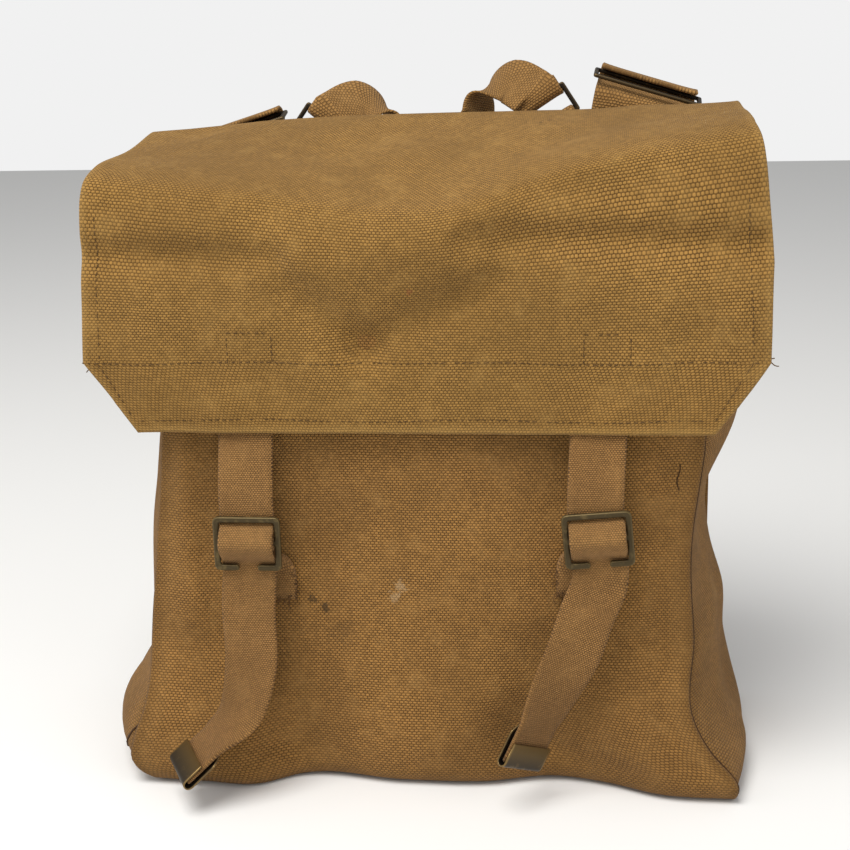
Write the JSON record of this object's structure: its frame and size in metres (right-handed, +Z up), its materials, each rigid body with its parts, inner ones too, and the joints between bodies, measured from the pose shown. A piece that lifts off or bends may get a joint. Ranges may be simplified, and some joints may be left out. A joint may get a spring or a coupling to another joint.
{
  "type": "canvas haversack",
  "caption": "Historic field haversack of tan cotton canvas, with a deep flap, webbing closing straps, open-ended brass buckles and webbing loops at the top of its back.",
  "frame": {"origin": "on the floor under the middle of the body, at its flat base", "axes": "+Z up, the front with the straps towards -Y, +X to the viewer's right"},
  "size_m": [0.3227, 0.1887, 0.3425],
  "materials": {
    "canvas_flap": "coarse plain-weave cotton canvas, matt, faded",
    "canvas_body": "coarse plain-weave cotton canvas, matt, soiled",
    "webbing": "woven cotton webbing, matt",
    "dull_brass": "tarnished, dull",
    "dark_brass": "blackened, worn bright at the edges"
  },
  "bodies": {
    "root": {"main_panel": "canvas_body", "flap": "canvas_flap", "side_gusset_left": "canvas_body", "side_gusset_right": "canvas_body", "closing_strap_left": "webbing", "closing_strap_right": "webbing", "strap_tip_left": "dark_brass", "strap_tip_right": "dark_brass", "buckle_tab_left": "webbing", "buckle_tab_right": "webbing", "strap_buckle_left": "dull_brass", "strap_buckle_right": "dull_brass", "top_loop_left": "webbing", "top_loop_right": "webbing", "small_chape_left": "webbing", "small_chape_right": "webbing", "small_buckle_left": "dark_brass", "small_buckle_right": "dark_brass", "wide_chape_left": "webbing", "wide_chape_right": "webbing", "wide_buckle_left": "dark_brass", "wide_buckle_right": "dark_brass"}
  },
  "joints": []
}
